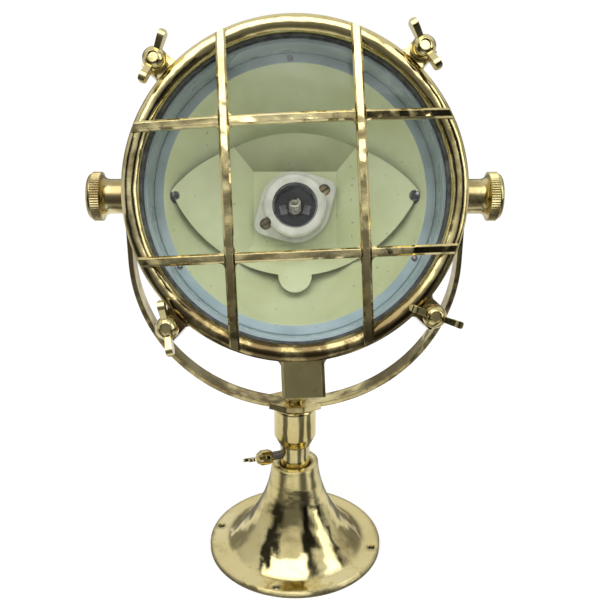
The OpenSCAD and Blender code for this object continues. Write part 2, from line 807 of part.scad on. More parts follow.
module cable_gland_nut() {
  color(brass) cable_frame() translate([0, 0, -gland_h]) hex_nut(gland_af, gland_h, cable_r);
}

module rear_gasket() {
  color(rubber) head_frame() translate([0, 0, rebate_z]) washer(glass_r, gasket_in_r, gasket_t);
}

module front_glass() {
  color([0.8, 0.9, 0.85, 0.3]) head_frame() translate([0, 0, rebate_z + gasket_t])
    cylinder(r = glass_r, h = glass_t, $fn = 128);
}

module front_gasket() {
  color(rubber) head_frame() translate([0, 0, flange_front - gasket_t])
    washer(glass_r, gasket_in_r, gasket_t);
}

// Half section of the front ring, with a rounded front
module ring_section() {
  translate([ring_in_r, flange_front]) intersection() {
    square([ring_w, ring_h + past]);
    union() {
      square([ring_w, ring_edge_h]);
      translate([ring_w / 2, ring_h - crest_r]) circle(r = crest_r);
    }
  }
}

// Slotted ear whose nose is round about the pin, so that the bolt can swing out with its nut
module clamp_ear() {
  inner = crest_place;
  difference() {
    intersection() {
      translate([inner, -lug_w / 2, flange_front]) cube([clamp_r + ear_over - inner, lug_w, ear_t]);
      union() {
        translate([inner, -lug_w, pin_z]) cube([clamp_r - inner, 2 * lug_w, ear_top - pin_z]);
        translate([clamp_r, 0, pin_z]) along_y() cylinder(r = ear_top - pin_z, h = 2 * lug_w, center = true);
      }
    }
    translate([clamp_r, 0, flange_front - past]) cylinder(r = fork_gap / 2, h = ear_t + 2 * past);
    translate([clamp_r, -fork_gap / 2, flange_front - past]) cube([2 * lug_half, fork_gap, ear_t + 2 * past]);
  }
}

module cage_ring() {
  color(brass) {
    head_frame() rotate_extrude($fn = 128) ring_section();
    for (place = [0 : 3]) clamp_frame(place) {
      clamp_ear();
      translate([0, 0, flange_front]) linear_extrude(min(ear_t, ring_edge_h) - side_gap)
        root_fillets(ring_r, lug_w / 2, lug_fillet);
    }
  }
}

// One bar beside the lamp axis, bent forward over the glass and let into the ring
module cage_bar(place) {
  half = bar_w / 2;
  inner = bar_arc_r - bar_t;
  difference() {
    intersection() {
      translate([place, 0, bar_arc_z]) along_x() rotate_extrude($fn = 128) polygon([
        [inner, -half], [bar_arc_r - bar_bevel, -half], [bar_arc_r, bar_bevel - half],
        [bar_arc_r, half - bar_bevel], [bar_arc_r - bar_bevel, half], [inner, half]
      ]);
      translate([0, 0, flange_front])
        cylinder(r = ring_r - bar_short, h = ring_h + bar_rise + bar_t, $fn = 128);
    }
    rotate_extrude($fn = 128) ring_section();
  }
}

// The crossings, as blocks ahead of or behind the middle of the bars
module lap_blocks(ahead) {
  size = bar_w + 2 * tight_fit;
  for (x = [-1, 1], y = [-1, 1])
    translate([x * bar_place, y * bar_place, lap_z + (ahead ? bar_t : -bar_t)])
      cube([size, size, 2 * bar_t], center = true);
}

module cage_bars_upright() {
  color(brass) head_frame() rotate([0, 0, cage_turn]) difference() {
    for (side = [-1, 1]) cage_bar(side * bar_place);
    lap_blocks(false);
  }
}

// Brazing in the four corners of one crossing
module braze_corners() {
  corner = bar_w / 2;
  overlap = bar_bevel / 2;
  linear_extrude(bar_t / 2, center = true) for (x = [0, 1], y = [0, 1]) mirror([x, 0]) mirror([0, y])
    translate([corner + tight_fit, corner - overlap]) difference() {
      square([braze_r, braze_r + overlap]);
      translate([braze_r, braze_r + overlap]) circle(r = braze_r);
    }
}

module cage_bars_level() {
  color(brass) head_frame() rotate([0, 0, cage_turn]) {
    difference() {
      for (side = [-1, 1]) rotate([0, 0, 90]) cage_bar(side * bar_place);
      lap_blocks(true);
    }
    for (x = [-1, 1], y = [-1, 1]) translate([x * bar_place, y * bar_place, lap_z]) braze_corners();
  }
}

// Half section of the bowl's inside, grown by a sheet thickness and open over the rim
module bowl_section(grow, over) {
  intersection() {
    translate([0, bowl_center]) circle(r = bowl_r + grow, $fn = 128);
    translate([0, dish_rim_z - dish_sag - grow]) square([dish_out_r, dish_sag + grow + over]);
  }
}

module rim_screw_places() {
  for (screw = [0 : rim_screws - 1])
    rotate([0, 0, rim_screw_turn + screw * 360 / rim_screws]) translate([rim_screw_place, 0, 0]) children();
}

module reflector_dish() {
  color(enamel) head_frame() difference() {
    rotate_extrude($fn = 128) difference() {
      union() {
        bowl_section(sheet_t, 0);
        translate([0, dish_rim_z - sheet_t]) square([dish_out_r, sheet_t]);
      }
      bowl_section(0, past);
    }
    along_x() cylinder(r = dish_hole_r, h = 3 * dish_out_r, center = true);
    rim_screw_places() translate([0, 0, dish_rim_z - 2 * sheet_t])
      cylinder(r = rim_screw_r + tight_fit, h = 3 * sheet_t);
  }
}

module reflector_screws() {
  color(steel) head_frame() rim_screw_places() translate([0, 0, dish_rim_z]) {
    intersection() {
      translate([0, 0, -rim_screw_head_r]) sphere(r = rim_screw_head_r * sqrt(2));
      cylinder(r = rim_screw_head_r, h = rim_screw_head_r);
    }
    translate([0, 0, -sheet_t]) cylinder(r = rim_screw_r, h = sheet_t);
  }
}

// Four-sided hopper whose floor lies at the given height
module hopper(low) {
  high = bowl_r;
  wide = floor_half_x + high / side_slope;
  tall = floor_half_y + high / top_slope;
  polyhedron(
    points = [
      for (level = [[low, floor_half_x, floor_half_y], [low + high, wide, tall]])
        for (corner = [[-1, -1], [1, -1], [1, 1], [-1, 1]])
          [corner[0] * level[1], corner[1] * level[2], level[0]]
    ],
    faces = [[0, 1, 2, 3], [7, 6, 5, 4], [4, 5, 1, 0], [5, 6, 2, 1], [6, 7, 3, 2], [7, 4, 0, 3]]
  );
}

module carrier_outline() {
  tongue_r = tongue_w / 2;
  intersection() {
    translate([0, carrier_top - upper_arc_r]) circle(r = upper_arc_r, $fn = 128);
    translate([0, lower_arc_r - carrier_low]) circle(r = lower_arc_r, $fn = 128);
  }
  translate([0, tongue_r - carrier_low - tongue_out]) circle(r = tongue_r);
  translate([-tongue_r, tongue_r - carrier_low - tongue_out]) square([tongue_w, carrier_low - tongue_r]);
}

module holder_screw_places() {
  for (side = [0, 180]) rotate([0, 0, holder_turn + side]) translate([holder_screw_place, 0, 0]) children();
}

module lamp_carrier() {
  color(enamel) holder_frame() difference() {
    intersection() {
      translate([0, 0, floor_z - sheet_t]) linear_extrude(2 * carrier_low) carrier_outline();
      hopper(floor_z - sheet_t);
    }
    hopper(floor_z);
    holder_screw_places() translate([0, 0, floor_z - 2 * sheet_t])
      cylinder(r = holder_screw_r + turn_fit, h = 3 * sheet_t);
  }
}

module carrier_pillars() {
  color(steel) difference() {
    intersection() {
      holder_frame() holder_screw_places() translate([0, 0, floor_z - sheet_t - dish_sag])
        cylinder(r = pillar_r, h = dish_sag);
      head_frame() translate([0, 0, bowl_center]) sphere(r = bowl_r - tight_fit, $fn = 128);
    }
    holder_frame() holder_screw_places() translate([0, 0, floor_z - 4 * sheet_t - pillar_r])
      cylinder(r = holder_screw_r + tight_fit, h = 4 * sheet_t + pillar_r);
  }
}

module porcelain_foot() {
  ear = [holder_screw_place, 0];
  linear_extrude(porcelain_foot_h) rotate([0, 0, holder_turn])
    for (side = [1, -1]) tapered_link([0, 0], porcelain_foot_r, side * ear, holder_ear_r);
}

module porcelain_barrel() {
  crown = barrel_r - rim_round;
  rotate_extrude() {
    square([barrel_r, porcelain_h - rim_round]);
    square([crown, porcelain_h]);
    translate([crown, porcelain_h - rim_round]) circle(r = rim_round);
  }
}

module lampholder_porcelain() {
  color(porcelain) holder_frame() difference() {
    translate([0, 0, floor_z]) {
      porcelain_foot();
      porcelain_barrel();
    }
    translate([0, 0, socket_floor]) cylinder(r = socket_r, h = porcelain_h);
    holder_screw_places() {
      translate([0, 0, floor_z - past]) cylinder(r = holder_screw_r + turn_fit, h = porcelain_h);
      translate([0, 0, holder_head_z]) cylinder(r = holder_head_r + side_gap, h = porcelain_h);
    }
  }
}

module holder_screws() {
  slot = holder_head_r / 4;
  color(brass) holder_frame() holder_screw_places() {
    difference() {
      translate([0, 0, holder_head_z]) cylinder(r = holder_head_r, h = holder_head_h);
      translate([-holder_head_r - past, -slot / 2, holder_head_z + holder_head_h / 2])
        cube([2 * holder_head_r + 2 * past, slot, holder_head_h]);
    }
    translate([0, 0, floor_z - 3 * sheet_t])
      cylinder(r = holder_screw_r, h = holder_head_z - floor_z + 3 * sheet_t);
  }
}

module screw_shell() {
  outer = socket_r - side_gap;
  foot = shell_h / 4;
  color(steel) holder_frame() translate([0, 0, socket_floor]) difference() {
    washer(outer, outer - shell_t, shell_h);
    for (turn = [0, 90]) rotate([0, 0, 45 + turn]) translate([-2 * outer, -shell_window / 2, foot])
      cube([4 * outer, shell_window, shell_h / 2]);
  }
}

module contact_plate() {
  color(brass) holder_frame() translate([0, 0, socket_floor])
    cylinder(r = contact_plate_r, h = contact_plate_t);
}

// Wire of the contact spring: a coil that narrows towards its tip
spring_steps = 8;
spring_sides = 6;
spring_rings = spring_turns * spring_steps;

function spring_point(step) =
  let (
    turn = step * 360 / spring_steps,
    coil = spring_foot_r + (spring_tip_r - spring_foot_r) * step / spring_rings
  )
  [coil * cos(turn), coil * sin(turn), spring_pitch * step / spring_steps];

function spring_ring(step) =
  let (turn = step * 360 / spring_steps, out = [cos(turn), sin(turn), 0])
  [
    for (side = [0 : spring_sides - 1])
      let (around = side * 360 / spring_sides)
      spring_point(step) + spring_wire_r * (out * cos(around) + [0, 0, sin(around)])
  ];

spring_gap = min([
  for (step = [0 : spring_rings - spring_steps / 2])
    for (other = [step + spring_steps / 2 : spring_rings])
      norm(spring_point(other) - spring_point(step)) - 2 * spring_wire_r
]);
echo(spring_gap = spring_gap);

module contact_spring() {
  last = spring_rings * spring_sides;
  color(brass) holder_frame() translate([0, 0, spring_z]) polyhedron(
    points = [for (step = [0 : spring_rings]) each spring_ring(step)],
    faces = [
      for (step = [0 : spring_rings - 1], side = [0 : spring_sides - 1])
        let (a = step * spring_sides + side, b = step * spring_sides + (side + 1) % spring_sides)
        each [[a, b, b + spring_sides], [a, b + spring_sides, a + spring_sides]],
      for (side = [1 : spring_sides - 2])
        each [[0, side + 1, side], [last, last + side, last + side + 1]]
    ]
  );
}

// Knurled knob, drawn outwards along z from the yoke's face
module knob() {
  rim = knob_shank + knob_shoulder;
  end = rim + knob_rim;
  core_r = knob_r - 1.5 * knurl_depth;
  crown_r = core_r - knob_edge_r;
  difference() {
    union() {
      rotate_extrude() {
        difference() {
          polygon([
            [0, 0], [knob_shank_r, 0], [knob_shank_r, knob_shank], [core_r, knob_shank],
            [core_r, end - knob_edge_r], [crown_r, end], [0, end]
          ]);
          translate([knob_shank_r + knob_shoulder, knob_shank]) circle(r = knob_shoulder);
        }
        translate([crown_r, end - knob_edge_r]) circle(r = knob_edge_r);
      }
      translate([0, 0, rim]) linear_extrude(knob_rim - knob_edge_r) polygon([
        for (step = [0 : 2 * knurls - 1])
          (knob_r - (step % 2) * knurl_depth) * [cos(step * 180 / knurls), sin(step * 180 / knurls)]
      ]);
    }
    translate([0, 0, -past]) cylinder(r = trunnion_r + turn_fit, h = knob_grip + past + face_gap);
  }
}

module knob_right() {
  color(brass) head_frame() translate([knob_x, 0, 0]) along_x() knob();
}

module knob_left() {
  color(brass) head_frame() mirror([1, 0, 0]) translate([knob_x, 0, 0]) along_x() knob();
}

module swing_bolt(place) {
  color(brass) clamp_frame(place) translate([clamp_r, 0, pin_z]) difference() {
    union() {
      along_y() cylinder(r = bolt_eye_r, h = bolt_eye_t, center = true);
      cylinder(r = bolt_r, h = bolt_top - pin_z);
    }
    along_y() cylinder(r = pin_r + turn_fit, h = 2 * bolt_eye_t, center = true);
  }
}

// Two wings, rounded at their ends both from the side and from above
module nut_wings() {
  tip = [nut_wing_half - nut_wing_end_r, nut_h - nut_wing_end_r * 0.4];
  root = [nut_body_r * 0.5, nut_h * 0.42];
  for (side = [0, 1]) mirror([0, side, 0]) intersection() {
    rotate([90, 0, 90]) linear_extrude(2 * nut_wing_t, center = true)
      tapered_link(root, nut_body_r * 0.4, tip, nut_wing_end_r);
    linear_extrude(2 * nut_h)
      tapered_link([0, 0], nut_root_t / 2, [0, nut_wing_half - nut_wing_t / 2], nut_wing_t / 2);
  }
}

module wing_nut(place) {
  dome_z = nut_h - nut_body_r;
  color(brass) clamp_frame(place) translate([clamp_r, 0, nut_z]) rotate(nut_turns[place]) difference() {
    union() {
      cylinder(r = nut_body_r, h = dome_z);
      intersection() {
        translate([0, 0, dome_z]) sphere(r = nut_body_r);
        translate([0, 0, dome_z / 2]) cylinder(r = 2 * nut_body_r, h = nut_h);
      }
      nut_wings();
    }
    translate([0, 0, -past]) cylinder(r = bolt_r + turn_fit, h = nut_h * 2);
  }
}

base_pedestal();
neck_tube();
neck_locknut();
swivel_washer();
lock_stud();
lock_wing();
stem_sleeve();
yoke_strap();
yoke_washer();
yoke_nut();
lamp_body();
friction_washers();
trunnion_studs();
trunnion_nuts();
clamp_pins();
cable_entry_block();
cable_seal();
cable_gland_nut();
rear_gasket();
front_glass();
front_gasket();
cage_ring();
cage_bars_upright();
cage_bars_level();
reflector_dish();
reflector_screws();
lamp_carrier();
carrier_pillars();
lampholder_porcelain();
holder_screws();
screw_shell();
contact_plate();
contact_spring();
knob_left();
knob_right();
swing_bolt(0);  // swing_bolt_upper_right
swing_bolt(1);  // swing_bolt_upper_left
swing_bolt(2);  // swing_bolt_lower_left
swing_bolt(3);  // swing_bolt_lower_right
wing_nut(0);  // wing_nut_upper_right
wing_nut(1);  // wing_nut_upper_left
wing_nut(2);  // wing_nut_lower_left
wing_nut(3);  // wing_nut_lower_right
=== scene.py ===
"""Looks of a polished brass ship cargo light with a caged, enamelled head on a trumpet-shaped foot."""
import json
import math

import bmesh
import bpy
from mathutils import Matrix, Vector


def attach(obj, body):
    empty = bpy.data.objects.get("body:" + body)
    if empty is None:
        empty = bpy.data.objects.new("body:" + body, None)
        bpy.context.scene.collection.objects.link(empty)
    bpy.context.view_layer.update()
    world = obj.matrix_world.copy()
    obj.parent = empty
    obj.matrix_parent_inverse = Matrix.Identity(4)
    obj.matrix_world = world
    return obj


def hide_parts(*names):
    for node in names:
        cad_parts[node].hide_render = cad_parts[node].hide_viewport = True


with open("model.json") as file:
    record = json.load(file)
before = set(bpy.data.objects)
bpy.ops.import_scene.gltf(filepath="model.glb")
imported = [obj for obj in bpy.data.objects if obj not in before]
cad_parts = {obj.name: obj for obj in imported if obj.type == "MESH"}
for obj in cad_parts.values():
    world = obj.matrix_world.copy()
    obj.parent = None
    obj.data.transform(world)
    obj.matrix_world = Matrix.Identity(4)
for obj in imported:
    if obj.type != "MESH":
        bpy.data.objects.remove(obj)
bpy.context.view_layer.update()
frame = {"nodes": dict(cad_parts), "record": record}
nodes = frame["nodes"]

# The lamp's head: its centre on the tilt axis and its directions, in metres
TILT = math.radians(20.0)
ORIGIN = Vector((0.0, 0.0, 0.0))
HEAD_CENTRE = Vector((0.0, 0.0, 0.265))
RIGHT = Vector((1.0, 0.0, 0.0))
UP = Vector((0.0, math.sin(TILT), math.cos(TILT)))
FORWARD = Vector((0.0, -math.cos(TILT), math.sin(TILT)))
HOLDER_CENTRE = HEAD_CENTRE - UP * 0.005

# Where paint, painted light, painted shade and painted dark reflection on the head begin and end:
# radii, heights and depths from its centre, and how far a face may turn down for the painted shade
SEAT_INNER_R = 0.0905
WALL_BACK = -0.028
# where the drum's wall is painted lighter towards the bottom: painted light
WALL_PAINTED_LIGHT_HEIGHTS = (-0.075, 0.005)
# heights over which brown and black are painted on the ring and bars: painted dark reflection
PAINTED_DARK_HEIGHTS = (-0.090, -0.020)
DISH_RIM = (0.0815, 0.0823)
# heights and slopes of the painted shade on the carrier, darkest on its faces that turn down
PAINTED_SHADE_HEIGHTS = (0.016, 0.040)
PAINTED_SHADE_SLOPES = (-0.35, -0.10)
# the bottom of the porcelain's socket is painted near black: painted shade
SOCKET_R = 0.0148
SOCKET_DEPTHS = (-0.020, -0.008)

# Roughness: how far polished brass varies, and what stains and the drum's paint add to it
POLISH_SPREAD = 0.09
STAIN_ROUGHNESS = 0.30
WALL_ROUGHNESS = 0.15

# Radii of softened edges
BRASS_EDGE_R = 0.0006
GLAZE_EDGE_R = 0.0008
STEEL_EDGE_R = 0.0003

# Camera, fitted to the outlines of the foot, the ring and the clamps
LENS_MM = 51.0
SENSOR_MM = 36.0
CAMERA_PLACE = (0.0, -0.528, 0.402)
CAMERA_PITCH = math.radians(21.5)
CAMERA_SHIFT_X = 5.0 / 600.0

# Colours; tones run from dark to light
WHITE = (1.0, 1.0, 1.0)
BRASS_TONES = ((0.65, 0.535, 0.23), (0.77, 0.66, 0.32), (0.85, 0.745, 0.41))
# patina and tarnish, which also give the painted dark reflection on the lower ring and bars
PATINA_AND_PAINTED_DARK = (0.30, 0.215, 0.085)
TARNISH_AND_PAINTED_DARK = (0.075, 0.050, 0.022)
WALL_TONES = ((0.24, 0.31, 0.30), (0.33, 0.41, 0.40))
# lighter tones for the lower wall of the drum: painted light
WALL_PAINTED_LIGHT_TONES = ((0.42, 0.54, 0.58), (0.52, 0.64, 0.68))
ENAMEL_TONES = ((0.60, 0.65, 0.36), (0.72, 0.78, 0.49))
# dust and dirt on the enamel, and painted shade in its corners
GRIME_AND_SHADE = (0.16, 0.15, 0.08)
# painted shade on the carrier above the lamp
CARRIER_PAINTED_SHADE = (0.17, 0.17, 0.05)
GLASS_TINT = (0.90, 0.96, 0.97)
PORCELAIN_TONES = ((0.60, 0.61, 0.50), (0.80, 0.80, 0.70))
# dirt and painted shade in the porcelain's corners
PORCELAIN_DIRT_AND_SHADE = (0.15, 0.12, 0.07)
# painted shade at the bottom of the socket
SOCKET_PAINTED_SHADE = (0.012, 0.011, 0.009)
STEEL_TONES = ((0.14, 0.13, 0.12), (0.36, 0.34, 0.31))
RUST = (0.12, 0.06, 0.03)
RUBBER_TONES = ((0.012, 0.012, 0.012), (0.045, 0.044, 0.040))
GASKET_TONES = ((0.05, 0.055, 0.052), (0.12, 0.13, 0.125))
METAL_DIRT = (0.02, 0.016, 0.01)
SHELL_TONES = ((0.12, 0.12, 0.12), (0.46, 0.46, 0.46))
PLATE_TONES = ((0.02, 0.018, 0.015), (0.06, 0.055, 0.045))
HOLDER_SCREW_TONES = ((0.12, 0.085, 0.04), (0.40, 0.31, 0.16))
CARRIER_SCREW_TONES = ((0.10, 0.10, 0.11), (0.34, 0.34, 0.36))
TAB_TONES = ((0.40, 0.40, 0.42), (0.72, 0.72, 0.74))
COIL_TONES = ((0.66, 0.62, 0.46), (0.92, 0.90, 0.76))
FLOOR_TONES = ((0.62, 0.62, 0.62), (0.65, 0.65, 0.65))
FLOOR_DARK = (0.02, 0.02, 0.02)


# Helpers for node trees

NOISE_RANGE = (0.35, 0.65)  # where most of a noise lies
SLANT_POWER = 5.0  # how fast a glass surface mirrors more at a slant
CREVICE_SAMPLES = 8
EDGE_SAMPLES = 4
# Places of a Mix node's sockets: share, first and second value, and the result
MIX_SOCKETS = {"RGBA": (0, 6, 7, 2), "FLOAT": (0, 2, 3, 0)}


class Graph:
    """A node tree with short calls for the nodes that are used here."""

    def __init__(self, tree, coordinate):
        self.tree = tree
        tree.nodes.clear()
        self.place = self.node("TexCoord").outputs[coordinate]

    def node(self, kind, **settings):
        """A new shader node with some of its settings."""
        node = self.tree.nodes.new("ShaderNode" + kind)
        for name, value in settings.items():
            setattr(node, name, value)
        return node

    def feed(self, socket, value):
        """Link a socket to a socket, or set its own number or colour."""
        if isinstance(value, bpy.types.NodeSocket):
            self.tree.links.new(value, socket)
        elif isinstance(value, tuple) and len(value) == 3 and socket.type == "RGBA":
            socket.default_value = (*value, 1.0)
        else:
            socket.default_value = value

    def wire(self, node, **values):
        """Feed sockets of a node by name, with underscores for spaces."""
        for name, value in values.items():
            self.feed(node.inputs[name.replace("_", " ")], value)
        return node

    def math(self, operation, *values):
        """One step of arithmetic with sockets and numbers."""
        node = self.node("Math", operation=operation)
        for socket, value in zip(node.inputs, values):
            self.feed(socket, value)
        return node.outputs["Value"]

    def span(self, value, limits, results):
        """A number that goes smoothly from one result to the other between the value's limits."""
        node = self.node("MapRange", interpolation_type="SMOOTHSTEP")
        start, end = limits
        low, high = results
        self.wire(node, Value=value, From_Min=start, From_Max=end, To_Min=low, To_Max=high)
        return node.outputs["Result"]

    def noise(self, scale, detail=3.0, rough=0.55, stretch=None, distortion=0.0):
        """Cloudy numbers round one half; a larger scale makes them finer."""
        place = self.place
        if stretch:
            place = self.wire(self.node("Mapping"), Vector=place, Scale=stretch).outputs["Vector"]
        node = self.node("TexNoise")
        self.wire(node, Vector=place, Scale=scale, Detail=detail, Roughness=rough, Distortion=distortion)
        return node.outputs["Fac"]

    def ramp(self, value, stops):
        """A colour from stops of value and colour."""
        node = self.node("ValToRGB")
        elements = node.color_ramp.elements
        while len(elements) < len(stops):
            elements.new(0.5)
        for element, (at, color) in zip(elements, stops):
            element.position = at
            element.color = (*color, 1.0)
        self.feed(node.inputs["Fac"], value)
        return node.outputs["Color"]

    def mottle(self, noise, tones, limits=NOISE_RANGE):
        """Tones that run into each other with a noise."""
        return self.ramp(noise, list(zip(limits, tones)))

    def mix(self, share, a, b, kind="RGBA"):
        """A colour between two colours."""
        *inputs, result = MIX_SOCKETS[kind]
        node = self.node("Mix", data_type=kind)
        for index, value in zip(inputs, (share, a, b)):
            self.feed(node.inputs[index], value)
        return node.outputs[result]

    def blend(self, share, a, b):
        """A number between two numbers."""
        return self.mix(share, a, b, "FLOAT")

    def dot(self, vector, direction):
        """How far a vector reaches along a direction."""
        node = self.node("VectorMath", operation="DOT_PRODUCT")
        self.feed(node.inputs[0], vector)
        self.feed(node.inputs[1], direction)
        return node.outputs["Value"]

    def along(self, direction, origin=ORIGIN):
        """Distance along a direction from an origin."""
        return self.math("SUBTRACT", self.dot(self.place, direction), direction.dot(origin))

    def length(self, a, b):
        """Distance from its two parts at right angles."""
        squares = [self.math("MULTIPLY", part, part) for part in (a, b)]
        return self.math("SQRT", self.math("ADD", *squares))

    def turn(self, x, y):
        """Angle round the z axis, 0 on the side where the camera stands."""
        return self.math("ARCTAN2", x, self.math("MULTIPLY", y, -1.0))


class Look(Graph):
    """A principled material that is being wired up."""

    def __init__(self, name):
        self.material = bpy.data.materials.new(name)
        self.material.use_nodes = True
        super().__init__(self.material.node_tree, "Object")
        self.shader = self.node("BsdfPrincipled")
        self.wire(self.node("OutputMaterial"), Surface=self.shader.outputs["BSDF"])

    def set(self, **values):
        """Feed sockets of the material's shader."""
        self.wire(self.shader, **values)

    def crevice(self, reach):
        """1 where the surface is shut in by its neighbours within the reach, 0 in the open."""
        node = self.wire(self.node("AmbientOcclusion", samples=CREVICE_SAMPLES), Distance=reach)
        return self.math("SUBTRACT", 1.0, node.outputs["AO"])

    def corner_dirt_and_shade(self, reach, grain, ragged, limits, most):
        """Share of the darkening that gathers in corners, with an edge made ragged by a grain: tarnish
        on the brass, dirt and painted shade on the enamel and the porcelain.
        """
        uneven = self.math("MULTIPLY", grain, ragged)
        return self.span(self.math("ADD", self.crevice(reach), uneven), limits, (0.0, most))

    def bump(self, layers, edge=None):
        """Bump from layers of height, strength and depth, over edges rounded by a radius."""
        normal = None
        if edge:
            node = self.wire(self.node("Bevel", samples=EDGE_SAMPLES), Radius=edge)
            normal = node.outputs["Normal"]
        for height, strength, depth in layers:
            node = self.wire(self.node("Bump"), Height=height, Strength=strength, Distance=depth)
            if normal:
                self.wire(node, Normal=normal)
            normal = node.outputs["Normal"]
        self.set(Normal=normal)

    def grain(self, scale, strength, depth, edge=None, detail=2.0):
        """One layer of noise as bump."""
        self.bump([(self.noise(scale, detail=detail), strength, depth)], edge)

    def facing(self, direction):
        """1 where the surface faces the direction, -1 where it faces away, on the piece itself."""
        return self.dot(self.node("TexCoord").outputs["Normal"], direction)

    def head_radius(self, centre=HEAD_CENTRE):
        """Distance from a centre on the lamp's head, across its axis."""
        return self.length(self.along(RIGHT, centre), self.along(UP, centre))

    def head_height(self):
        """Height above the axis of the lamp's head."""
        return self.along(UP, HEAD_CENTRE)

    def head_depth(self):
        """Place along the axis of the lamp's head."""
        return self.along(FORWARD, HEAD_CENTRE)


# Materials

def brass_parts(look, wave, polish, dirt=0.95, worn=0.0, low=0.0):
    """Colour, roughness and bump layers of hand-polished brass with tarnish in its corners.

    Worn brass has more brown patches, and a low share paints brown and black towards the bottom of
    the head as painted dark reflection.
    """
    patches = look.noise(14.0, detail=4.0, distortion=0.6)
    color = look.mottle(patches, BRASS_TONES, (0.30, 0.46, 0.68))
    spots = look.span(look.noise(260.0, detail=2.0), (0.66, 0.80), (0.0, 0.35))
    grain = look.noise(120.0, detail=4.0)
    corner = look.corner_dirt_and_shade(reach=0.005, grain=grain, ragged=0.5, limits=(0.62, 1.15), most=dirt)
    stain = look.math("MAXIMUM", corner, spots)
    cloud = look.noise(38.0, detail=6.0, rough=0.65)
    patina = look.span(cloud, (0.54 - worn, 0.74 - worn), (0.0, 0.55 + worn))
    if low:
        # painted dark reflection: brown and black mixed into the colour towards the bottom of the head
        under = look.span(look.head_height(), PAINTED_DARK_HEIGHTS, (low, 0.0))
        brown = look.math("MULTIPLY", under, look.span(cloud, (0.35, 0.60), (0.5, 1.0)))
        black = look.math("MULTIPLY", under, look.span(cloud, (0.42, 0.54), (0.0, 0.9)))
        color = look.mix(look.math("MAXIMUM", patina, brown), color, PATINA_AND_PAINTED_DARK)
        color = look.mix(black, color, TARNISH_AND_PAINTED_DARK)
    else:
        color = look.mix(patina, color, PATINA_AND_PAINTED_DARK)
    color = look.mix(stain, color, TARNISH_AND_PAINTED_DARK)
    rough = look.span(look.noise(30.0, detail=5.0), (0.3, 0.7), (polish, polish + POLISH_SPREAD))
    rough = look.math("ADD", rough, look.math("MULTIPLY", stain, STAIN_ROUGHNESS))
    waves = look.noise(34.0, detail=2.0)
    ripples = look.noise(190.0, detail=2.0)
    scratches = look.noise(1400.0, detail=2.0, stretch=(0.15, 0.15, 1.0))
    layers = [(waves, wave, 0.0042), (ripples, 0.5 * wave, 0.0003), (scratches, 0.06, 0.0002)]
    return color, rough, layers


def brass_look(name, wave=0.30, polish=0.08, edge=BRASS_EDGE_R, **wear_and_painted_dark):
    """Polished brass all over."""
    look = Look(name)
    color, rough, layers = brass_parts(look, wave, polish, **wear_and_painted_dark)
    look.set(Base_Color=color, Roughness=rough, Metallic=1.0)
    look.bump(layers, edge)
    return look.material


def wall_paint(look):
    """Blue-grey paint of the drum's inside, painted lighter towards the bottom, where the wall faces up
    to the light: painted light.
    """
    noise = look.noise(45.0, detail=4.0)
    deep, pale = (look.mottle(noise, tones) for tones in (WALL_TONES, WALL_PAINTED_LIGHT_TONES))
    # painted light: the lower wall, which faces up, is mixed towards the lighter tones
    return look.mix(look.span(look.head_height(), WALL_PAINTED_LIGHT_HEIGHTS, (1.0, 0.0)), deep, pale)


def body_look():
    """Brass outside; the drum's inside is painted a dull blue grey."""
    look = Look("body_brass")
    color, rough, layers = brass_parts(look, wave=0.20, polish=0.09)
    inside = look.math("LESS_THAN", look.head_radius(), SEAT_INNER_R)
    ahead = look.math("GREATER_THAN", look.head_depth(), WALL_BACK)
    paint = look.math("MULTIPLY", inside, ahead)
    look.set(
        Base_Color=look.mix(paint, color, wall_paint(look)),
        Roughness=look.math("ADD", rough, look.math("MULTIPLY", paint, WALL_ROUGHNESS)),
        Metallic=look.math("SUBTRACT", 1.0, paint),
    )
    look.bump(layers, BRASS_EDGE_R)
    return look.material


def enamel_look(name, rim):
    """Pale green enamel with grime, and painted shade, in its corners.

    The reflector's rim is blue grey like the drum, and the carrier has painted shade above the lamp,
    darkest on its faces that turn down.
    """
    look = Look(name)
    noise = look.noise(20.0, detail=5.0, distortion=0.3)
    color = look.mottle(noise, ENAMEL_TONES)
    if rim:
        outer = look.span(look.head_radius(), DISH_RIM, (0.0, 1.0))
        color = look.mix(outer, color, wall_paint(look))
    else:
        # painted shade: darkens the carrier above the lamp, most on its faces that turn down
        rising = look.span(look.head_height(), PAINTED_SHADE_HEIGHTS, (0.75, 0.42))
        below = look.span(look.facing(UP), PAINTED_SHADE_SLOPES, (1.0, 0.0))
        uneven = look.span(look.noise(35.0, detail=4.0), NOISE_RANGE, (0.75, 1.0))
        painted_shade = look.math("MULTIPLY", look.math("MULTIPLY", rising, below), uneven)
        color = look.mix(painted_shade, color, CARRIER_PAINTED_SHADE)
    grain = look.noise(80.0, detail=5.0)
    # dirt and painted shade: darker where the enamel is shut in, as along the carrier's edges
    dirt = look.corner_dirt_and_shade(reach=0.010, grain=grain, ragged=0.6, limits=(0.62, 1.30), most=0.50)
    specks = look.span(look.noise(330.0, detail=1.0), (0.72, 0.80), (0.0, 0.6))
    look.set(
        Base_Color=look.mix(look.math("MAXIMUM", dirt, specks), color, GRIME_AND_SHADE),
        Roughness=look.span(noise, NOISE_RANGE, (0.28, 0.42)),
    )
    look.grain(scale=110.0, strength=0.12, depth=0.0006, edge=GLAZE_EDGE_R)
    return look.material


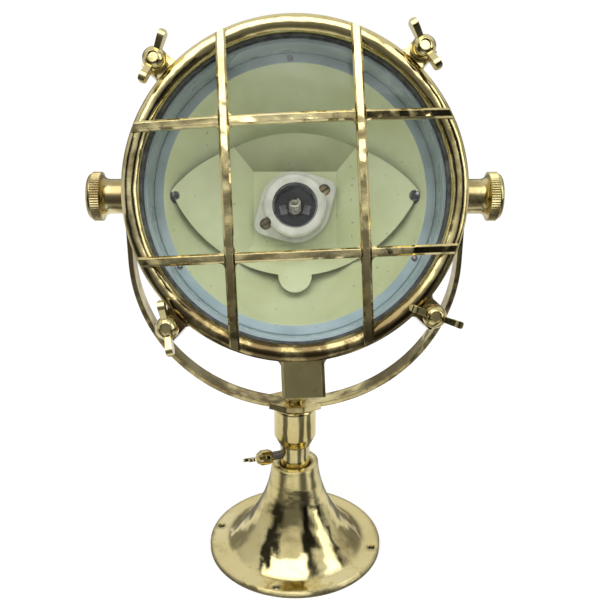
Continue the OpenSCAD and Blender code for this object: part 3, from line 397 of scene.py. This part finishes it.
def glass_look():
    """Thin clear glass: it lets light through and mirrors more at a slant, under a film of dust."""
    look = Look("clear_glass")
    slant = look.node("LayerWeight").outputs["Facing"]
    dust = look.span(look.noise(45.0, detail=6.0), (0.35, 0.70), (0.015, 0.035))
    look.set(
        Base_Color=GLASS_TINT,
        Metallic=0.5,
        Roughness=look.span(look.noise(25.0), NOISE_RANGE, (0.02, 0.08)),
        Alpha=look.math("ADD", look.math("POWER", slant, SLANT_POWER), dust),
    )
    return look.material


def porcelain_look():
    """Old glazed porcelain, with dirt and painted shade in its corners, and painted shade, near black,
    at the bottom of the socket.
    """
    look = Look("white_porcelain")
    tone = look.mottle(look.noise(90.0, detail=4.0), PORCELAIN_TONES)
    grain = look.noise(140.0, detail=5.0)
    # dirt and painted shade in the porcelain's corners
    dirt = look.corner_dirt_and_shade(reach=0.007, grain=grain, ragged=0.6, limits=(0.60, 1.20), most=0.85)
    # painted shade: the bottom of the socket is painted near black, with less coat
    inside = look.math("LESS_THAN", look.head_radius(HOLDER_CENTRE), SOCKET_R)
    deep = look.math("MULTIPLY", inside, look.span(look.head_depth(), SOCKET_DEPTHS, (1.0, 0.0)))
    look.set(
        Base_Color=look.mix(deep, look.mix(dirt, tone, PORCELAIN_DIRT_AND_SHADE), SOCKET_PAINTED_SHADE),
        Roughness=look.span(look.noise(40.0), NOISE_RANGE, (0.10, 0.22)),
        Coat_Weight=look.math("MULTIPLY_ADD", deep, -0.5, 0.5),
        Coat_Roughness=0.06,
    )
    look.grain(scale=260.0, strength=0.08, depth=0.0004, edge=GLAZE_EDGE_R)
    return look.material


def steel_look():
    """Darkened steel with spots of rust."""
    look = Look("dark_steel")
    tone = look.mottle(look.noise(70.0, detail=5.0), STEEL_TONES)
    rust = look.span(look.noise(150.0), (0.60, 0.75), (0.0, 0.6))
    look.set(
        Base_Color=look.mix(rust, tone, RUST),
        Metallic=look.math("SUBTRACT", 1.0, rust),
        Roughness=look.span(look.noise(120.0), NOISE_RANGE, (0.24, 0.45)),
    )
    look.grain(scale=900.0, strength=0.10, depth=0.0002, edge=STEEL_EDGE_R)
    return look.material


def rubber_look(name, tones):
    """Matt rubber with dust on it."""
    look = Look(name)
    look.set(
        Base_Color=look.mottle(look.noise(180.0, detail=4.0), tones),
        Roughness=look.span(look.noise(300.0), NOISE_RANGE, (0.60, 0.80)),
    )
    look.grain(scale=1100.0, strength=0.20, depth=0.0002)
    return look.material


def aged_look(name, tones, dirt=0.8, metal=1.0):
    """Dull old metal with dark dirt on it; where it is oxidised it is less of a mirror."""
    look = Look(name)
    color = look.mottle(look.noise(170.0, detail=5.0), tones, (0.36, 0.64))
    dirt = look.span(look.crevice(reach=0.003), (0.25, 0.80), (0.0, dirt))
    look.set(
        Base_Color=look.mix(dirt, color, METAL_DIRT),
        Metallic=look.math("MULTIPLY_ADD", dirt, -0.6 * metal, metal),
        Roughness=look.span(look.noise(240.0), NOISE_RANGE, (0.26, 0.46)),
    )
    look.grain(scale=700.0, strength=0.15, depth=0.0002, edge=STEEL_EDGE_R, detail=3.0)
    return look.material


def dress():
    """Give each piece of the frame the look of its slot, or one of its own."""
    by_slot = {
        "polished_brass": brass_look("polished_brass"),
        "body_brass": body_look(),
        "contact_brass": brass_look("contact_brass", wave=0.10, polish=0.14),
        "dark_steel": steel_look(),
        "black_rubber": rubber_look("black_rubber", RUBBER_TONES),
        "green_enamel": enamel_look("green_enamel", rim=False),
        "clear_glass": glass_look(),
        "white_porcelain": porcelain_look(),
    }
    satin = brass_look("satin_brass", wave=0.20, polish=0.16, worn=0.16)
    # the ring and the bars get painted dark reflection towards the bottom of the head (low)
    ring = brass_look("ring_brass", wave=0.50, polish=0.06, worn=0.04, low=0.85)
    bars = brass_look("bar_brass", wave=0.85, polish=0.05, worn=0.04, low=0.60)
    gasket = rubber_look("gasket_rubber", GASKET_TONES)
    special = {
        "cage_ring": ring,
        "cage_bars_upright": bars,
        "cage_bars_level": bars,
        "base_pedestal": brass_look("foot_brass", wave=0.60, polish=0.03, edge=0.005, dirt=0.40),
        "yoke_strap": brass_look("strap_brass", wave=0.60, polish=0.05, edge=0.0012, worn=0.16),
        "knob_left": satin,
        "knob_right": satin,
        "front_gasket": gasket,
        "rear_gasket": gasket,
        "reflector_dish": enamel_look("reflector_enamel", rim=True),
        "screw_shell": aged_look("shell_steel", SHELL_TONES, dirt=0.6),
        "contact_plate": aged_look("plate_brass", PLATE_TONES),
        "holder_screws": aged_look("aged_brass", HOLDER_SCREW_TONES),
    }
    slots = {part["node"]: part["material_slot"] for part in frame["record"]["subparts"]}
    for name, obj in nodes.items():
        obj.data.materials.clear()
        obj.data.materials.append(special.get(name, by_slot[slots[name]]))


# Small pieces, each on the body that carries it: sizes in metres, places on the head in millimetres

MM_PER_M = 1000.0
SHARP_ANGLE = math.radians(38.0)
# A screw head and the floor of its slot, as shares of its radius and height
SCREW_DOME = [(0.0, 1.0), (0.45, 0.93), (0.80, 0.68), (1.0, 0.30), (1.0, -0.30), (0.0, -0.30)]
SCREW_FLOOR = [(0.0, 0.25), (0.9, 0.25), (0.9, -0.25), (0.0, -0.25)]
CARRIER_SCREW = {"height": 0.0014, "slot": 0.0010}
CARRIER_SCREW_MM = (75.6, 0.2, 3.6)
CARRIER_SCREW_OUT = (-0.58, 0.0, 0.81)
CARRIER_SCREW_TURN = math.radians(62.0)
CARRIER_ENDS = ((1.0, "right", 0.0035), (-1.0, "left", 0.0027))  # side, name and screw's radius
TAB = {"width": 0.0062, "thick": 0.0006}
TAB_BEND_MM = [(-3.8, 0.4), (-2.6, 0.5), (-1.7, 1.0), (1.0, 4.4), (1.5, 5.6)]
TAB_MM = (8.2, -7.0, -25.8)
TAB_OUT = (0.0, 0.0, 1.0)
TAB_UP = (0.30, 1.0, 0.0)
COIL = {"radius": 0.0031, "pitch": 0.0021, "turns": 4.2, "start": 0.0012}
COIL_WIRE_R = 0.0009
COIL_MM = (0.0, -8.6, -23.6)
COIL_OUT = (0.0, 0.62, 0.78)
COIL_UP = (0.0, 0.78, -0.62)
THREAD = {"radius": 0.00292, "pitch": 0.0010, "turns": 7.0, "start": 0.0108}
THREAD_CREST_R = 0.00028
LOCK_ANGLE = math.radians(198.0)
LOCK_Z = 0.0766


def head_axes(origin_mm, out, up=(0.0, 1.0, 0.0)):
    """Axes of a piece on the head: z points out of the surface and y points up.

    Its place and both directions are given across, up and forward of the head's centre.
    """
    across, above, ahead = origin_mm
    place = HEAD_CENTRE + (RIGHT * across + UP * above + FORWARD * ahead) / MM_PER_M
    turn = Matrix((RIGHT, UP, FORWARD)).transposed()
    z = (turn @ Vector(out)).normalized()
    x = (turn @ Vector(up)).cross(z).normalized()
    axes = Matrix((x, z.cross(x), z)).transposed().to_4x4()
    return Matrix.Translation(place) @ axes


def on_side(side, vector):
    """A place or direction on the right side, mirrored where the side is -1."""
    x, y, z = vector
    return x * side, y, z


def around(radius, angle, z):
    """A point round the z axis."""
    return Vector((radius * math.cos(angle), radius * math.sin(angle), z))


def helix(radius, pitch, turns, start, steps=28):
    """Points of a screw line round z."""
    count = int(turns * steps) + 1
    return [around(radius, math.tau * i / steps, start + pitch * i / steps) for i in range(count)]


def heading(points, index):
    """Direction of a line of points at one of them."""
    after = points[min(index + 1, len(points) - 1)]
    return (after - points[max(index - 1, 0)]).normalized()


def ring_sides(rings, sides, start=0):
    """Both corners of each side of all rings of points but the last."""
    for ring in range(rings - 1):
        first = start + ring * sides
        for step in range(sides):
            yield first + step, first + (step + 1) % sides


def tube(points, radius, sides=10):
    """A round wire along points, with closed ends."""
    verts = []
    side = heading(points, 0).orthogonal()
    for index, point in enumerate(points):
        ahead = heading(points, index)
        side = (side - ahead * side.dot(ahead)).normalized()
        other = ahead.cross(side)
        for step in range(sides):
            angle = math.tau * step / sides
            verts.append(point + radius * (side * math.cos(angle) + other * math.sin(angle)))
    faces = [(a, b, b + sides, a + sides) for a, b in ring_sides(len(points), sides)]
    faces.append(tuple(reversed(range(sides))))
    faces.append(tuple(range(len(verts) - sides, len(verts))))
    return verts, faces


def lathe(profile, steps=36):
    """A body turned round z from points of radius and height; both ends lie on the axis."""
    verts = [Vector((0.0, 0.0, height)) for _, height in (profile[0], profile[-1])]
    start = len(verts)
    rings = profile[1:-1]
    for radius, height in rings:
        verts += [around(radius, math.tau * step / steps, height) for step in range(steps)]
    last = len(verts) - steps
    faces = [(a, a + steps, b + steps, b) for a, b in ring_sides(len(rings), steps, start)]
    for step in range(steps):
        after = (step + 1) % steps
        faces.append((0, start + step, start + after))
        faces.append((1, last + after, last + step))
    return verts, faces


def strip(points, width, thick):
    """A bent metal strip: points run along it in the x z plane, its width lies along y."""
    points = [Vector((x, 0.0, z)) for x, z in points]
    corners = ((-1, -1), (1, -1), (1, 1), (-1, 1))
    sides = len(corners)
    verts = []
    for index, point in enumerate(points):
        ahead = heading(points, index)
        across = Vector((ahead.z, 0.0, -ahead.x)) * thick / 2.0
        for y, sign in corners:
            verts.append(point + across * sign + Vector((0.0, y * width / 2.0, 0.0)))
    faces = [tuple(range(sides)), tuple(reversed(range(len(verts) - sides, len(verts))))]
    faces += [(a, a + sides, b + sides, b) for a, b in ring_sides(len(points), sides)]
    return verts, faces


def slotted_head(radius, height, slot):
    """A domed screw head with a straight slot across it: two halves of a dome on a floor."""
    dome, floor = ([(r * radius, h * height) for r, h in shares] for shares in (SCREW_DOME, SCREW_FLOOR))
    verts, faces = lathe(floor)
    half_verts, half_faces = lathe(dome)
    for side in (1.0, -1.0):
        half = bmesh.new()
        made = [half.verts.new(vert) for vert in half_verts]
        for face in half_faces:
            half.faces.new([made[corner] for corner in face])
        cut = bmesh.ops.bisect_plane(
            half, geom=half.verts[:] + half.edges[:] + half.faces[:],
            plane_co=(0.0, side * slot / 2.0, 0.0), plane_no=(0.0, side, 0.0), clear_inner=True,
        )
        edges = [item for item in cut["geom_cut"] if isinstance(item, bmesh.types.BMEdge)]
        bmesh.ops.contextual_create(half, geom=edges)
        half.verts.index_update()
        start = len(verts)
        verts += [vert.co.copy() for vert in half.verts]
        faces += [tuple(start + vert.index for vert in face.verts) for face in half.faces]
        half.free()
    return verts, faces


def add_piece(name, shape, place, material, body):
    """Put a shape in its place, on the body that carries it."""
    verts, faces = shape
    mesh = bpy.data.meshes.new(name)
    mesh.from_pydata([place @ vert for vert in verts], [], faces)
    mesh.update()
    mesh.shade_smooth()
    mesh.set_sharp_from_angle(angle=SHARP_ANGLE)
    mesh.materials.append(material)
    obj = bpy.data.objects.new(name, mesh)
    bpy.context.collection.objects.link(obj)
    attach(obj, body)
    return obj


def small_pieces():
    """Screws on the carrier, tabs and a coil in the socket, and the thread of the lock screw."""
    steel = bpy.data.materials["dark_steel"]
    worn = aged_look("worn_steel", CARRIER_SCREW_TONES)
    tab = aged_look("tab_steel", TAB_TONES, dirt=0.3, metal=0.4)
    bright = aged_look("bright_contact", COIL_TONES, dirt=0.6, metal=0.4)
    for side, name, screw_r in CARRIER_ENDS:
        place = head_axes(on_side(side, CARRIER_SCREW_MM), on_side(side, CARRIER_SCREW_OUT))
        place = place @ Matrix.Rotation(CARRIER_SCREW_TURN * side, 4, "Z")
        screw = slotted_head(screw_r, **CARRIER_SCREW)
        add_piece("carrier_screw_" + name, screw, place, worn, "head")
        place = head_axes(on_side(side, TAB_MM), TAB_OUT, on_side(side, TAB_UP))
        bend = [(side * x / MM_PER_M, z / MM_PER_M) for x, z in TAB_BEND_MM]
        shape = strip(bend, **TAB)
        add_piece("socket_tab_" + name, shape, place, tab, "head")
    coil = tube(helix(**COIL), COIL_WIRE_R)
    place = head_axes(COIL_MM, COIL_OUT, COIL_UP)
    spring = add_piece("contact_coil", coil, place, bright, "head")
    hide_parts("contact_spring")
    out = around(1.0, LOCK_ANGLE, 0.0)
    across = Vector((0.0, 0.0, 1.0))
    turn = Matrix((across, out.cross(across), out)).transposed().to_4x4()
    place = Matrix.Translation((0.0, 0.0, LOCK_Z)) @ turn
    thread = tube(helix(**THREAD), THREAD_CREST_R, sides=6)
    add_piece("lock_thread", thread, place, steel, "lock_screw")


# Surroundings: a room that metal and glass mirror, by the angle round the lamp (turn) and above
# the floor (rise), in radians, and a floor by distances from the foot, in metres

ROOM_WAVES = 0.7  # how far the edges of the room's parts wander
SIDE_TURNS = (0.45, 0.80)
SIDE_LEVEL = 0.85
FRONT_RISES = (0.24, 0.64)
FRONT_LOW = 0.22
BACK_TURNS = (2.10, 2.50)
BACK_RISES = (0.42, 0.60)
BACK_WAVES = 0.25  # share of the room's waves
BACK_LOW = 0.25
BACK_LEVEL = 0.80
CEILING_RISES = (1.05, 1.30)
SOFT_HEIGHTS = (-0.1, 0.9)
SOFT_LEVELS = (0.40, 1.15)
# Brightness of the room's front, from the left side of the camera to its right side
FRONT_LEVELS = [
    (0.10, 0.70), (0.180, 0.70), (0.195, 0.03), (0.32, 0.03), (0.35, 0.82), (0.57, 0.80), (0.595, 0.02),
    (0.71, 0.02), (0.735, 0.80), (0.80, 0.75), (0.82, 0.02), (0.90, 0.02), (0.92, 0.70),
]
FRONT_PER_RADIAN = 0.25

FLOOR_HALF = 6.0
FOOT_SHADE_R = (0.08, 0.17)
FOOT_SHADE = 0.80
FLOOR_FADE_R = (0.10, 0.55)
FLOOR_GLOW_R = (0.08, 0.50)
FLOOR_GLOW = (0.38, 1.0)
FLOOR_AHEAD = (-0.45, 0.35)
FLOOR_LEVELS = (0.10, 0.80)
SCREEN_LEVEL = 0.9


def front_bands(graph, turn, grain):
    """Brightness of the room's front by the angle round the lamp, with wavy edges."""
    wavy = graph.math("ADD", turn, graph.math("MULTIPLY", graph.noise(grain), ROOM_WAVES))
    middle = 0.5 - FRONT_PER_RADIAN * ROOM_WAVES / 2.0
    share = graph.math("MULTIPLY_ADD", wavy, FRONT_PER_RADIAN, middle)
    return graph.ramp(share, [(at, (level, level, level)) for at, level in FRONT_LEVELS])


def studio_world():
    """White room, seen white; only metal and glass mirror its bright and dark parts."""
    world = bpy.data.worlds.new("studio")
    bpy.context.scene.world = world
    world.use_nodes = True
    graph = Graph(world.node_tree, "Generated")
    shader = graph.node("Background")
    graph.wire(graph.node("OutputWorld"), Surface=shader.outputs["Background"])
    path = graph.node("LightPath").outputs
    split = graph.wire(graph.node("SeparateXYZ"), Vector=graph.place)
    x, y, z = (split.outputs[name] for name in "XYZ")
    ragged = graph.math("MULTIPLY", graph.noise(2.2, detail=4.0), ROOM_WAVES)
    turn = graph.turn(x, y)
    aside = graph.math("ABSOLUTE", turn)
    rise = graph.math("ARCSINE", z)
    sides = graph.span(aside, SIDE_TURNS, (0.0, SIDE_LEVEL))
    lit = graph.math("MAXIMUM", graph.span(rise, FRONT_RISES, (FRONT_LOW, 1.0)), sides)
    front = graph.math("MULTIPLY", front_bands(graph, turn, grain=3.4), lit)
    back_rise = graph.math("ADD", rise, graph.math("MULTIPLY", ragged, BACK_WAVES))
    back = graph.span(back_rise, BACK_RISES, (BACK_LOW, BACK_LEVEL))
    behind = graph.span(graph.math("ADD", aside, ragged), BACK_TURNS, (0.0, 1.0))
    walls = graph.blend(behind, front, back)
    lower = graph.span(graph.math("ADD", rise, ragged), CEILING_RISES, (1.0, 0.0))
    room = graph.blend(lower, BACK_LEVEL, walls)
    mirrored = graph.math("MULTIPLY", path["Is Glossy Ray"], room)
    soft = graph.math("MULTIPLY", path["Is Diffuse Ray"], graph.span(z, SOFT_HEIGHTS, SOFT_LEVELS))
    seen = graph.math("MAXIMUM", path["Is Camera Ray"], path["Is Transmission Ray"])
    level = graph.math("MAXIMUM", seen, graph.math("MAXIMUM", mirrored, soft))
    graph.wire(shader, Color=WHITE, Strength=level)


def floor_look():
    """Matt white floor: it keeps the shadow near the foot and runs into the white further off.

    Metal mirrors it darker near the foot, ahead of the lamp and under the room's dark bands.
    """
    look = Look("floor")
    across, ahead = look.along(RIGHT), look.along(Vector((0.0, 1.0, 0.0)))
    far = look.length(across, ahead)
    tone = look.mottle(look.noise(3.0), FLOOR_TONES, (0.3, 0.7))
    path = look.node("LightPath").outputs
    bands = front_bands(look, look.turn(across, ahead), grain=6.0)
    screens = look.math("SUBTRACT", SCREEN_LEVEL, bands)
    shade = look.math("MAXIMUM", look.span(far, FOOT_SHADE_R, (FOOT_SHADE, 0.0)), screens)
    level = look.span(ahead, FLOOR_AHEAD, FLOOR_LEVELS)
    level = look.math("MULTIPLY", level, look.math("SUBTRACT", 1.0, shade))
    mirrored = look.math("MULTIPLY", path["Is Glossy Ray"], level)
    seen = look.math("MAXIMUM", mirrored, path["Is Transmission Ray"])
    seen = look.math("MAXIMUM", path["Is Camera Ray"], seen)
    hard = look.math("SUBTRACT", 1.0, path["Is Diffuse Ray"])
    faded = look.math("MULTIPLY", hard, look.span(far, FLOOR_FADE_R, (0.0, 1.0)))
    faded = look.math("MAXIMUM", faded, look.math("MULTIPLY", path["Is Glossy Ray"], shade))
    look.set(
        Base_Color=look.mix(faded, tone, FLOOR_DARK),
        Roughness=0.9,
        Specular_IOR_Level=0.0,
        Emission_Color=WHITE,
        Emission_Strength=look.math("MULTIPLY", seen, look.span(far, FLOOR_GLOW_R, FLOOR_GLOW)),
    )
    return look.material


def area_light(name, place, target, size, power):
    """A rectangular light that points at a target."""
    light = bpy.data.lights.new(name, "AREA")
    light.shape = "RECTANGLE"
    light.size, light.size_y = size
    light.energy = power
    obj = bpy.data.objects.new(name, light)
    obj.location = place
    obj.rotation_euler = (Vector(target) - Vector(place)).to_track_quat("-Z", "Y").to_euler()
    bpy.context.collection.objects.link(obj)


def studio():
    """The room, two soft lights and the floor."""
    studio_world()
    area_light("key", place=(-0.25, -0.85, 1.70), target=(0.0, 0.0, 0.22), size=(2.0, 1.4), power=16.0)
    area_light("fill", place=(1.5, -0.5, 0.9), target=(0.0, 0.0, 0.2), size=(0.6, 1.4), power=4.0)
    floor = bpy.data.objects.new("floor", bpy.data.meshes.new("floor"))
    corners = [(x * FLOOR_HALF, y * FLOOR_HALF, 0) for x, y in ((-1, -1), (1, -1), (1, 1), (-1, 1))]
    floor.data.from_pydata(corners, [], [(0, 1, 2, 3)])
    bpy.context.collection.objects.link(floor)
    floor.data.materials.append(floor_look())


def camera():
    """The camera, set up as for the photograph."""
    data = bpy.data.cameras.new("camera")
    data.lens = LENS_MM
    data.sensor_width = SENSOR_MM
    data.shift_x = CAMERA_SHIFT_X
    obj = bpy.data.objects.new("camera", data)
    obj.location = CAMERA_PLACE
    obj.rotation_euler = (math.radians(90.0) - CAMERA_PITCH, 0.0, 0.0)
    bpy.context.collection.objects.link(obj)
    bpy.context.scene.camera = obj


dress()
small_pieces()
studio()
camera()
bpy.context.scene.view_settings.view_transform = "Standard"
